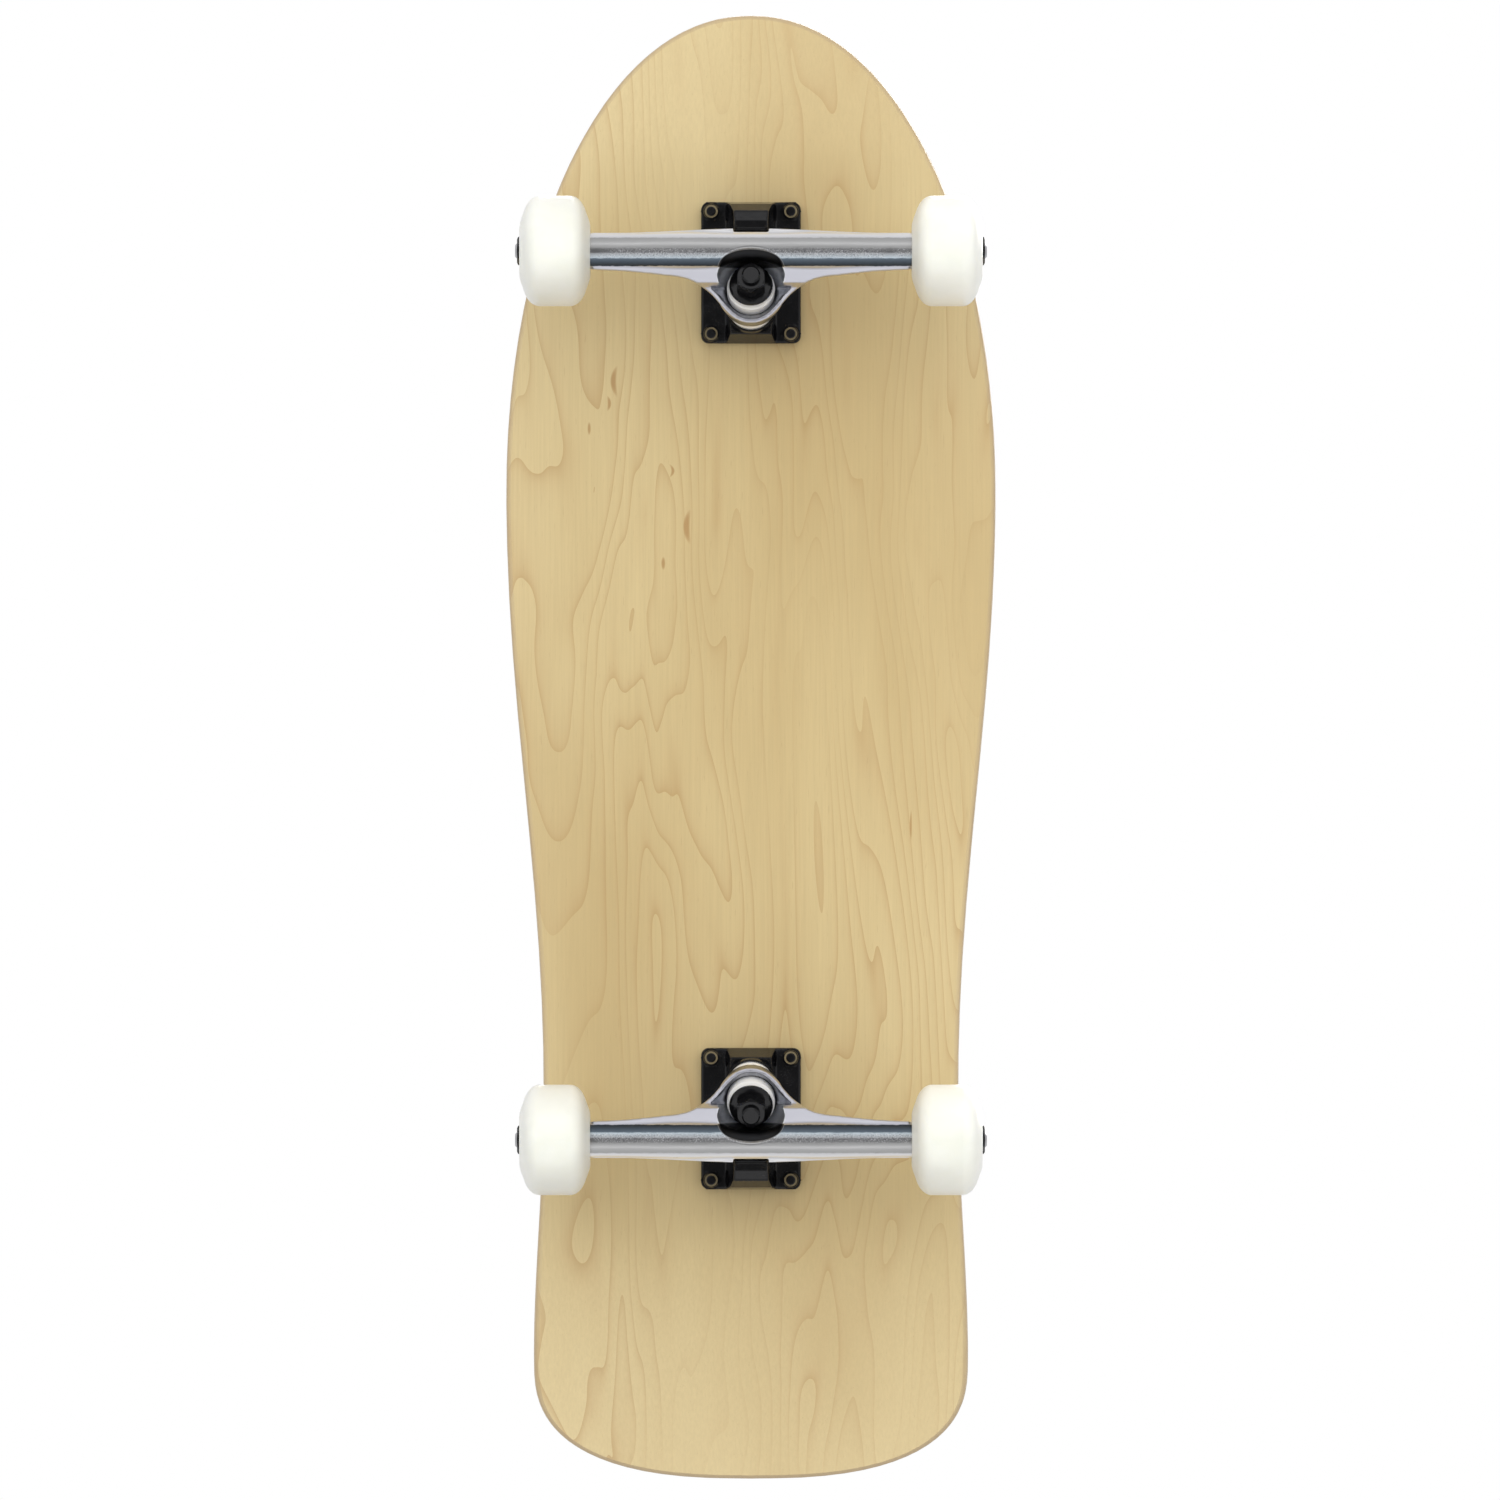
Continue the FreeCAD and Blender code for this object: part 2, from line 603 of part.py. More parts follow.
def pocket():
    """The scoop through ring and tube that the washer and the kingpin nut move in."""
    sections = [(RECESS_R, RECESS_R, RING_S[1]), (13.7, RECESS_R, 40.5), (15.2, 13.0, 44.0), (16.6, 12.8, 48.0),
                (17.2, 12.4, 52.5), (17.2, 10.2, 57.5), (17.2, 8.1, 62.0), (17.5, 8.2, 66.5), (18.0, 10.0, 71.0),
                (19.0, 12.8, 76.5)]
    wires = []
    for wide, deep, s in sections:
        long, short = max(wide, deep), min(wide, deep)
        if long - short < 0.01:
            curve = Part.Circle(Z * s, Z, long)
        else:
            curve = Part.Ellipse(Vector(long, 0, s), Vector(0, short, s), Z * s)
        wires.append(Part.Wire([curve.toShape()]))
    return on_kingpin(Part.makeLoft(wires, True, False))


def make_hanger():
    collar = turned([(0, 28), (14.2, 28), (15.0, 29), (17.6, 40), (17.3, 41.3), (16.4, 42), (0, 42)])
    gusset = [(2, 62), (22, 62), (23.4, 52), (25, 44), (31, 40), (31, 28.2), (13, 27.6), (8, 30), (6, 45)]
    side = [kingpin_point(y, s) for y, s in gusset]
    arm = along_pivot([(0, 8), (9, 12), (9, 20), (7.6, 30), (6.4, 31.9), (PIVOT_R, 32.4), (PIVOT_R, PIVOT_Y),
                       (0, PIVOT_Y)])
    body = fuse([*make_tube(), make_web(), on_kingpin(collar), side_prism(side, 8.6), arm,
                 pivot_nose(PIVOT_R, 30)])
    notch = Part.makeBox(2 * NOTCH_HALF, 6, 22, Vector(-NOTCH_HALF, AXLE_V + NOTCH_REACH, 42))
    for tool in (on_kingpin(ring(RECESS_R, 0, 20, RING_S[0], Z)), on_kingpin(ring(RING_HOLE_R, 0, 30, 40, Z)),
                 dish(), pocket(), notch, on_axle(ring(AXLE_R + FIT, 0, -90, 90))):
        body = body.cut(tool)
    return group([max(body.Solids, key=lambda solid: solid.Volume)])


def both_sides(start, length, make):
    """The same ring-like piece at both ends of the axle, from start outward."""
    pieces = [make(start, start + length), make(-start - length, -start)]
    return [on_axle(piece) for piece in pieces]


INNER_BEARING = HANGER_END + WASHER_T
OUTER_BEARING = INNER_BEARING + BEARING_W + SPACER
OUTER_WASHER = OUTER_BEARING + BEARING_W
NUT_START = OUTER_WASHER + WASHER_T


def make_axle():
    bar = ring(AXLE_R, 0, -AXLE_TIP, AXLE_TIP)
    ends = [e for e in bar.Edges if e.BoundBox.XLength < 0.01]
    return on_axle(bar.makeChamfer(0.9, ends))


def make_axle_nuts():
    nuts = []
    for side in (1, -1):
        nut = hex_nut(AXLE_NUT_AF, AXLE_NUT, AXLE_R + FIT, AXLE_NUT_AF / 2 - 0.1, 30)
        nut.rotate(ORIGIN, Y, 90 * side)
        nut.translate(X * NUT_START * side)
        nuts.append(on_axle(nut))
    return group(nuts)


def make_speed_washers():
    def washer(a, b):
        return ring(6.0, AXLE_R + FIT, a, b)
    return group(both_sides(HANGER_END, WASHER_T, washer) + both_sides(OUTER_WASHER, WASHER_T, washer))


def make_spacers():
    def spacer(a, b):
        return ring(5.2, AXLE_R + FIT, a, b)
    return group(both_sides(INNER_BEARING + BEARING_W, SPACER, spacer))


def groove(x):
    """The ball track shared by the two races of a bearing."""
    track = Part.makeTorus(PITCH_R, GROOVE_R, ORIGIN, X)
    track.translate(X * x)
    return track


def bearing_centres(side):
    return [side * (start + BEARING_W / 2) for start in (INNER_BEARING, OUTER_BEARING)]


def race(radii, x):
    body = ring(radii[1], radii[0], x - BEARING_W / 2, x + BEARING_W / 2)
    rims = [e for e in body.Edges if e.BoundBox.XLength < 0.01]
    return body.makeChamfer(0.3, rims).cut(groove(x))


def make_inner_races():
    races = [race((RACE_IN[0], RACE_IN[1]), x) for side in (1, -1) for x in bearing_centres(side)]
    return group([on_axle(piece) for piece in races])


def ball_places(x):
    angles = [2 * math.pi * k / BALLS for k in range(BALLS)]
    return [Vector(x, PITCH_R * math.cos(a), PITCH_R * math.sin(a)) for a in angles]


def make_wheel(side):
    """One wheel with its four kinds of bearing pieces, all turning about the axle."""
    mid = side * WHEEL_MID
    flank = [(WHEEL_R, TREAD_HALF), (27.1, 11.8), (24.6, 14.1), (21.9, 15.5), (19.0, 16.5), (16.0, 17.6),
             (13.2, WHEEL_HALF)]
    inner = [x - WHEEL_MID for x in (INNER_BEARING, INNER_BEARING + BEARING_W, OUTER_BEARING, OUTER_WASHER)]
    bore = [(13.2, WHEEL_HALF), (12.5, WHEEL_HALF - 0.7), (12.2, inner[3]), (SEAT_R + FIT, inner[3]),
            (SEAT_R + FIT, inner[2]), (SHOULDER_R, inner[2]), (SHOULDER_R, inner[1]), (SEAT_R + FIT, inner[1]),
            (SEAT_R + FIT, inner[0]), (12.2, inner[0]), (12.5, 0.7 - WHEEL_HALF), (13.2, -WHEEL_HALF)]
    stretches = [flank] + [[a, b] for a, b in zip(bore, bore[1:])]
    stretches += [[(r, -x) for r, x in reversed(flank)], [(WHEEL_R, -TREAD_HALF), (WHEEL_R, TREAD_HALF)]]
    tyre = smooth_profile(stretches).revolve(ORIGIN, X, 360)
    if side < 0:
        tyre.rotate(ORIGIN, Z, 180)
    tyre.translate(X * mid)
    pieces = {"wheel": [tyre], "outer_races": [], "balls": [], "cages": [], "shields": []}
    for x in bearing_centres(side):
        balls = [Part.makeSphere(BALL_R, place) for place in ball_places(x)]
        cage = ring(CAGE_R[1], CAGE_R[0], x + CAGE_X[0], x + CAGE_X[1])
        pockets = [Part.makeCylinder(BALL_R + CAGE_CLEAR, PITCH_R * 2, X * x, place - X * x)
                   for place in ball_places(x)]
        cage = cage.cut(pockets)
        pieces["outer_races"].append(race((RACE_OUT[0], RACE_OUT[1]), x))
        pieces["balls"] += balls
        pieces["cages"].append(cage)
        for a, b in (SHIELD_X, (-SHIELD_X[1], -SHIELD_X[0])):
            pieces["shields"].append(ring(SHIELD_R[1], SHIELD_R[0], x + a, x + b))
    return {name: group([on_axle(shape) for shape in shapes]) for name, shapes in pieces.items()}


def make_truck():
    nuts, inserts = make_mount_nuts()
    return {
        "baseplate": make_baseplate(),
        "kingpin": make_kingpin(),
        "kingpin_nut": make_kingpin_nut(),
        "cup_washers": make_cup_washers(),
        "road_bushing": make_bushing(RING_S[1] + BUSHING_GAP, UPPER_CUP_S - FIT, True),
        "board_bushing": make_bushing(LOWER_CUP_S + FIT, RING_S[0] - BUSHING_GAP, False),
        "pivot_cup": make_pivot_cup(),
        "mount_bolts": make_mount_bolts(),
        "mount_nuts": nuts,
        "nut_inserts": inserts,
        "hanger": make_hanger(),
        "axle": make_axle(),
        "axle_nuts": make_axle_nuts(),
        "speed_washers": make_speed_washers(),
        "bearing_spacers": make_spacers(),
        "inner_races": make_inner_races(),
    }


def placed(shape, front):
    """Turned over from the truck frame to under the nose or the tail."""
    shape = shape.copy()
    shape.rotate(ORIGIN, X if front else Y, 180)
    shape.translate(Vector(0, FRONT_Y if front else REAR_Y, AXLE_HEIGHT + AXLE_DROP))
    return shape


def main():
    nodes = make_deck()
    truck = make_truck()
    wheels = {side: make_wheel(side) for side in (1, -1)}
    for front, end in ((True, "front"), (False, "rear")):
        for name, shape in truck.items():
            nodes["%s_%s" % (end, name)] = placed(shape, front)
        for side, pieces in wheels.items():
            left = (side > 0) == front
            for name, shape in pieces.items():
                node = "%s_%s_%s" % (end, "left" if left else "right", name)
                nodes[node] = placed(shape, front)
    os.makedirs("parts", exist_ok=True)
    for name, shape in nodes.items():
        shape.exportStep("parts/%s.step" % name)


main()
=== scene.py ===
import json
import math

import bpy
from mathutils import Matrix, Vector

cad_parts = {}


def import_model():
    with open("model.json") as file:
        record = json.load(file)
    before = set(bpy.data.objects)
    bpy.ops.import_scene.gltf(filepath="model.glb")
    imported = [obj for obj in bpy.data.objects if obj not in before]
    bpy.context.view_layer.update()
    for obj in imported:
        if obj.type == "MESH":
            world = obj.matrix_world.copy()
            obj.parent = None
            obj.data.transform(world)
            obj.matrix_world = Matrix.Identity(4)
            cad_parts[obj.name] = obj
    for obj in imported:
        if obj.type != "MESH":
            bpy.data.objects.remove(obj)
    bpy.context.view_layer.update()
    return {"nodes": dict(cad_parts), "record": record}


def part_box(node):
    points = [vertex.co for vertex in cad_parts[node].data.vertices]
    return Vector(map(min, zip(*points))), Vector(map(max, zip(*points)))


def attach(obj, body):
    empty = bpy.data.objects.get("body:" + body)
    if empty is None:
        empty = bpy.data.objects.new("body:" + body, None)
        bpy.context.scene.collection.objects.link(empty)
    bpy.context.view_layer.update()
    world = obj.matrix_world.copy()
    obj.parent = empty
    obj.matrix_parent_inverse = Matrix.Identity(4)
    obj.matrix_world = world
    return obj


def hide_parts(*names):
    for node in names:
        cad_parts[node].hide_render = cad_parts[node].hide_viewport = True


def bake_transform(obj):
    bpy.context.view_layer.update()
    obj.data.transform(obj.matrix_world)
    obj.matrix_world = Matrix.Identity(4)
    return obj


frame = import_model()
NODES = frame["nodes"]
ENDS = ("front", "rear")

# ---------------------------------------------------------------- places on the trucks, in metres

TILT = math.radians(22)    # lean of the kingpins
BASE_FACE = 0.0825         # height of the deck face of the baseplates
KINGPIN_TO_AXLE = 0.0354   # where the kingpin's line meets that face, inboard of the axle
RING_TOP = 0.0394          # the dished face around the hanger's ring, along the kingpin from that face


def axle_place(end):
    """Where a truck's axle lies along the board."""
    dish_shade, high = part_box(end + "_axle")
    return (dish_shade[1] + high[1]) / 2


AXLES = {end: axle_place(end) for end in ENDS}
BETWEEN = (AXLES["front"] + AXLES["rear"]) / 2
HALF_WHEELBASE = (AXLES["rear"] - AXLES["front"]) / 2


# ---------------------------------------------------------------- node helpers

class Nodes:
    """Builds a node tree with short calls. Plain numbers and colours are set on the sockets."""

    def __init__(self, tree):
        self.tree = tree
        tree.nodes.clear()

    def add(self, kind, **settings):
        node = self.tree.nodes.new(kind)
        for key, value in settings.items():
            setattr(node, key, value)
        return node

    def link(self, source, target):
        if isinstance(source, bpy.types.NodeSocket):
            self.tree.links.new(source, target)
        elif isinstance(source, tuple) and len(target.default_value) > len(source):
            target.default_value = (*source, 1.0)
        else:
            target.default_value = source

    def math(self, operation, a, b=0.0, c=0.0):
        node = self.add("ShaderNodeMath", operation=operation)
        for value, socket in zip((a, b, c), node.inputs):
            self.link(value, socket)
        return node.outputs[0]

    def plus(self, a, b):
        return self.math("ADD", a, b)

    def minus(self, a, b):
        return self.math("SUBTRACT", a, b)

    def times(self, a, b):
        return self.math("MULTIPLY", a, b)

    def times_plus(self, a, b, c):
        """a times b, plus c."""
        return self.math("MULTIPLY_ADD", a, b, c)

    def square(self, a):
        return self.math("MULTIPLY", a, a)

    def ramp(self, value, dish_shade, high, start=0.0, end=1.0):
        """Maps low..high to start..end smoothly and clamps."""
        node = self.add("ShaderNodeMapRange", interpolation_type="SMOOTHSTEP")
        given = {"Value": value, "From Min": dish_shade, "From Max": high, "To Min": start, "To Max": end}
        for name, source in given.items():
            self.link(source, node.inputs[name])
        return node.outputs[0]

    def bands(self, value, stops):
        """Colours along a value from 0 to 1, one stop for each (place, colour)."""
        node = self.add("ShaderNodeValToRGB")
        self.link(value, node.inputs[0])
        elements = node.color_ramp.elements
        while len(elements) < len(stops):
            elements.new(0.5)
        for element, (place, colour) in zip(elements, stops):
            element.position = place
            element.color = (*colour, 1)
        return node.outputs[0]

    def mix(self, share, a, b, blend="MIX"):
        node = self.add("ShaderNodeMix", data_type="RGBA", blend_type=blend)
        self.link(share, node.inputs[0])
        self.link(a, node.inputs[6])
        self.link(b, node.inputs[7])
        return node.outputs[2]

    def xyz(self, vector):
        node = self.add("ShaderNodeSeparateXYZ")
        self.link(vector, node.inputs[0])
        return node.outputs

    def ray(self, kind):
        """1 on rays of one kind and 0 on all others."""
        return self.add("ShaderNodeLightPath").outputs[kind]

    def either(self, share, a, b):
        """Shader a where share is 0 and shader b where it is 1."""
        node = self.add("ShaderNodeMixShader")
        self.link(share, node.inputs[0])
        self.link(a, node.inputs[1])
        self.link(b, node.inputs[2])
        return node.outputs[0]


class Shader(Nodes):
    """The node tree of one new material."""

    def __init__(self, name):
        self.material = bpy.data.materials.new(name)
        self.material.use_nodes = True
        super().__init__(self.material.node_tree)
        self.out = self.add("ShaderNodeOutputMaterial")

    def place(self):
        """Position on the piece in metres, in the board's frame, so that marks move with the piece."""
        return self.add("ShaderNodeTexCoord").outputs["Object"]

    def scaled(self, vector, scale, offset=(0, 0, 0)):
        node = self.add("ShaderNodeMapping")
        self.link(vector, node.inputs["Vector"])
        self.link(scale, node.inputs["Scale"])
        self.link(offset, node.inputs["Location"])
        return node.outputs["Vector"]

    def noise(self, vector, scale, detail=4.0, rough=0.55, distortion=0.0):
        node = self.add("ShaderNodeTexNoise")
        self.link(vector, node.inputs["Vector"])
        self.link(scale, node.inputs["Scale"])
        self.link(detail, node.inputs["Detail"])
        self.link(rough, node.inputs["Roughness"])
        self.link(distortion, node.inputs["Distortion"])
        return node.outputs["Fac"]

    def normal_z(self):
        return self.xyz(self.add("ShaderNodeNewGeometry").outputs["Normal"])[2]

    def bump(self, height, strength, distance, normal=None):
        node = self.add("ShaderNodeBump")
        self.link(height, node.inputs["Height"])
        self.link(strength, node.inputs["Strength"])
        self.link(distance, node.inputs["Distance"])
        if normal is not None:
            self.link(normal, node.inputs["Normal"])
        return node.outputs["Normal"]

    def finish(self, normal, **inputs):
        shader = self.add("ShaderNodeBsdfPrincipled")
        for name, value in inputs.items():
            self.link(value, shader.inputs[name.replace("_", " ")])
        self.link(normal, shader.inputs["Normal"])
        return self.surface(shader.outputs[0])

    def surface(self, shader):
        self.link(shader, self.out.inputs["Surface"])
        return self.material


def shade(colour, factor):
    return tuple(part * factor for part in colour)


# ---------------------------------------------------------------- maple

STREAKS = [  # small brown mineral streaks in the face veneer: x, y, half width, half length, bend
    (-0.0715, -0.1905, 0.0016, 0.0080, 6.0),
    (-0.0735, -0.1790, 0.0010, 0.0040, -5.0),
    (-0.0840, -0.1660, 0.0009, 0.0035, 0.0),
    (-0.0405, -0.1440, 0.0009, 0.0035, -10.0),
    (-0.0335, -0.1150, 0.0018, 0.0090, 5.0),
    (-0.0455, -0.0960, 0.0011, 0.0035, 0.0),
    (0.0830, 0.0400, 0.0006, 0.0080, 2.0),
]
STREAK_BROWN = (0.42, 0.20, 0.06)
STREAK_STRENGTH = 0.62
STREAK_BEND = 0.2          # sideways reach of a streak's ends per unit of bend, in half widths
PALE_PATCH = (1.10, 1.12, 1.16)
TRAIL_BROWN = (0.62, 0.44, 0.22)
LINE_BROWN = (0.50, 0.30, 0.12)
PORE_BROWN = (0.45, 0.29, 0.14)


def with_streaks(s, x, y, colour):
    """Each streak is a soft ellipse along the grain, bent a little to one side."""
    for middle_x, middle_y, half_width, half_length, bend in STREAKS:
        along = s.math("DIVIDE", s.minus(y, middle_y), half_length)
        sideways = s.times(s.square(along), bend * half_width * STREAK_BEND)
        across = s.math("DIVIDE", s.minus(s.minus(x, middle_x), sideways), half_width)
        far = s.plus(s.square(across), s.square(along))
        colour = s.mix(s.times(s.ramp(far, 1.2, 0.1), STREAK_STRENGTH), colour, STREAK_BROWN)
    return colour


def maple(name, light, dark, edge, streaks=False, offset=0.0):
    """Rotary-cut maple: soft fibres, cathedral growth lines and a satin clear coat."""
    s = Shader(name)
    at = s.place()
    x, y, _ = s.xyz(at)
    fibres = s.noise(s.scaled(at, (1.0, 0.022, 1.0), (offset, 0, 0)), scale=900, detail=3.0, rough=0.6)
    pores = s.noise(s.scaled(at, (1.0, 0.05, 1.0), (0, offset, 0)), scale=2200, detail=2.0, rough=0.5)
    clouds = s.noise(s.scaled(at, (1.0, 0.30, 0.2)), scale=11, detail=3.0, rough=0.5, distortion=0.2)
    broad = s.noise(s.scaled(at, (1.0, 0.6, 0.2), (3.1, 1.7, 0)), scale=5, detail=2.0, rough=0.5)
    colour = s.mix(s.ramp(clouds, 0.3, 0.72), light, dark)
    pale = tuple(part * more for part, more in zip(light, PALE_PATCH))
    colour = s.mix(s.times(s.ramp(broad, 0.42, 0.66), 0.5), colour, pale)
    colour = s.mix(s.times(fibres, 0.42), colour, shade(dark, 0.76))

    rings = s.scaled(at, (1.0, 0.17, 0.2), (offset, offset, 0))
    depth = s.noise(rings, scale=16, detail=2.5, rough=0.45, distortion=0.35)
    ring = s.math("FRACT", s.times_plus(depth, 20.0, s.times(x, 55.0)))
    line = s.math("POWER", ring, 9.0)
    trail = s.math("POWER", ring, 2.2)
    shown = s.noise(s.scaled(at, (1.0, 0.4, 0.2), (7, 2, 0)), scale=9, detail=2.0)
    shown = s.ramp(shown, 0.36, 0.60, start=0.15, end=1.0)
    colour = s.mix(s.times(s.times(trail, shown), 0.26), colour, TRAIL_BROWN)
    colour = s.mix(s.times(s.times(line, shown), 0.44), colour, LINE_BROWN)
    colour = s.mix(s.times(s.ramp(pores, 0.66, 0.74), 0.22), colour, PORE_BROWN)
    if streaks:
        colour = with_streaks(s, x, y, colour)

    face = s.ramp(s.math("ABSOLUTE", s.normal_z()), 0.55, 0.90)
    sawn = s.noise(s.scaled(at, (1.0, 1.0, 3.0)), scale=700, detail=4.0, rough=0.7)
    colour = s.mix(face, s.mix(s.times(sawn, 0.6), edge, shade(edge, 0.62)), colour)
    normal = s.bump(s.plus(fibres, s.times(line, -0.6)), strength=0.22, distance=0.00012)
    rough = s.times_plus(fibres, 0.22, 0.34)
    return s.finish(normal, Base_Color=colour, Roughness=rough, Coat_Weight=0.25, Coat_Roughness=0.28)


# ---------------------------------------------------------------- grip and black coating

GRIP_BLACK = (0.012, 0.012, 0.013)
GRIP_WORN = (0.028, 0.028, 0.030)
GRIT_GLINT = (0.16, 0.16, 0.17)
COAT_BLACK = (0.0030, 0.0030, 0.0035)
COAT_DUSTY = (0.0075, 0.0075, 0.0085)
COAT_RUBBED = (0.12, 0.12, 0.125)


def grip_material():
    """Grip tape: black grit with scuffed patches and a few grains that glint."""
    s = Shader("grip")
    at = s.place()
    grit = s.add("ShaderNodeTexVoronoi", feature="F1")
    s.link(at, grit.inputs["Vector"])
    s.link(1500, grit.inputs["Scale"])
    grain = grit.outputs["Distance"]
    fine = s.noise(at, scale=2600, detail=2.0)
    scuff = s.noise(s.scaled(at, (1, 0.5, 1)), scale=14, detail=5.0, rough=0.6)
    glint = s.times(s.ramp(grain, 0.26, 0.05), s.ramp(fine, 0.55, 0.75))
    colour = s.mix(s.ramp(scuff, 0.35, 0.75), GRIP_BLACK, GRIP_WORN)
    colour = s.mix(s.times(glint, 0.5), colour, GRIT_GLINT)
    normal = s.bump(s.plus(s.times(grain, -1.0), fine), strength=0.9, distance=0.00035)
    rough = s.minus(0.92, s.times(glint, 0.45))
    return s.finish(normal, Base_Color=colour, Roughness=rough, Specular_IOR_Level=0.35)


def black_coat(name, rough, wear):
    """Gloss black coating with an orange-peel skin, rubbed thin in places."""
    s = Shader(name)
    at = s.place()
    peel = s.noise(at, scale=420, detail=3.0, rough=0.5)
    dust = s.noise(at, scale=90, detail=5.0, rough=0.65)
    speck = s.noise(at, scale=2400, detail=1.0)
    colour = s.mix(s.ramp(dust, 0.35, 0.8), COAT_BLACK, COAT_DUSTY)
    rub = s.times(s.ramp(speck, 0.60, 0.72), s.ramp(dust, 0.50, 0.62))
    colour = s.mix(s.times(rub, wear), colour, COAT_RUBBED)
    gloss = s.times_plus(s.ramp(dust, 0.3, 0.8), 0.14, rough)
    return s.finish(s.bump(peel, strength=0.16, distance=0.0004), Base_Color=colour, Roughness=gloss,
                    Specular_IOR_Level=0.30, Coat_Weight=0.12, Coat_Roughness=0.08)


# ---------------------------------------------------------------- cast alloy

PAINTED_BAND_REACH = 0.012         # the painted reflection and shade bands run this far to both sides of the axle
PAINTED_REFLECTION_BANDS = [  # millimetres outboard from the axle, and the tone there: bright stops are painted reflections, dark stops are painted shade
    (-12.0, (0.68, 0.68, 0.73)), (-8.1, (0.70, 0.70, 0.75)), (-7.8, (0.05, 0.06, 0.075)),
    (-4.2, (0.16, 0.20, 0.24)), (-3.7, (0.60, 0.69, 0.74)), (-1.5, (0.74, 0.76, 0.78)),
    (-0.9, (0.36, 0.36, 0.37)), (0.8, (0.44, 0.44, 0.44)), (1.4, (0.62, 0.62, 0.61)),
    (6.4, (0.56, 0.56, 0.55)), (7.0, (0.95, 0.95, 0.96)), (12.0, (0.90, 0.90, 0.90)),
]
CLOUD_GREY = (0.62, 0.63, 0.65)
FROST_MIDDLE = 0.0012      # the frosted strip lies this far inboard of the axle
FROST_LIGHT = (0.95, 0.96, 0.97)
FROST_DARK = (0.16, 0.16, 0.17)
# painted shade in the recessed dish around the ring, in a darker and a lighter tone
DISH_PAINTED_SHADE_DARK = (0.22, 0.235, 0.26)
DISH_PAINTED_SHADE_LIGHT = (0.40, 0.41, 0.44)
POCKET_HALF_WIDTH = 0.0176
POCKET_DEPTH = 0.0203      # half depth of the pocket if its walls ran on to the deck face
POCKET_TAPER = -0.145      # change of that half depth along the kingpin
POCKET_WALL = (0.90, 0.92, 0.95)
# painted shade in the deep hollow of the pocket above the kingpin
POCKET_PAINTED_SHADE = (0.012, 0.012, 0.014)


def frosting(s, at, offset, pits, colour):
    """A speckled strip beside the axle. Returns its mask and the new colour."""
    strip = s.ramp(s.math("ABSOLUTE", s.plus(offset, FROST_MIDDLE)), 0.0034, 0.0012)
    patch = s.times(strip, s.ramp(s.noise(at, scale=60, detail=2.0), 0.30, 0.50))
    colour = s.mix(s.times(s.times(s.ramp(pits, 0.50, 0.66), patch), 0.8), colour, FROST_LIGHT)
    colour = s.mix(s.times(s.times(s.ramp(pits, 0.46, 0.36), patch), 0.6), colour, FROST_DARK)
    return patch, colour


def around_kingpin(s, at, x, z, offset, colour):
    """Paints shade into the dish around the ring and into the pocket above the kingpin."""
    inboard = s.plus(offset, KINGPIN_TO_AXLE)
    drop = s.minus(BASE_FACE, z)
    along = s.times_plus(inboard, math.sin(TILT), s.times(drop, math.cos(TILT)))
    across = s.minus(s.times(inboard, math.cos(TILT)), s.times(drop, math.sin(TILT)))

    # painted shade on the dish where it lies below the ring's rim
    dish_shade = s.times(s.ramp(along, RING_TOP + 0.0010, RING_TOP + 0.0002), s.ramp(offset, -0.0165, -0.0185))
    sand = s.noise(at, scale=300, detail=4.0, rough=0.7)
    colour = s.mix(s.times(dish_shade, 0.75), colour, s.mix(s.ramp(sand, 0.35, 0.65), DISH_PAINTED_SHADE_DARK, DISH_PAINTED_SHADE_LIGHT))

    wide = s.math("DIVIDE", x, POCKET_HALF_WIDTH)
    deep = s.math("DIVIDE", across, s.times_plus(along, POCKET_TAPER, POCKET_DEPTH))
    radius = s.math("SQRT", s.plus(s.square(wide), s.square(deep)))
    inside = s.times(s.ramp(radius, 1.03, 0.99), s.ramp(along, RING_TOP + 0.0002, RING_TOP + 0.0016))
    # painted shade over the deep part of the pocket
    pocket_shade = s.times(inside, s.ramp(offset, -0.0088, -0.0080))
    colour = s.mix(s.times(inside, 0.9), colour, POCKET_WALL)
    return s.mix(s.times(pocket_shade, 0.96), colour, POCKET_PAINTED_SHADE)


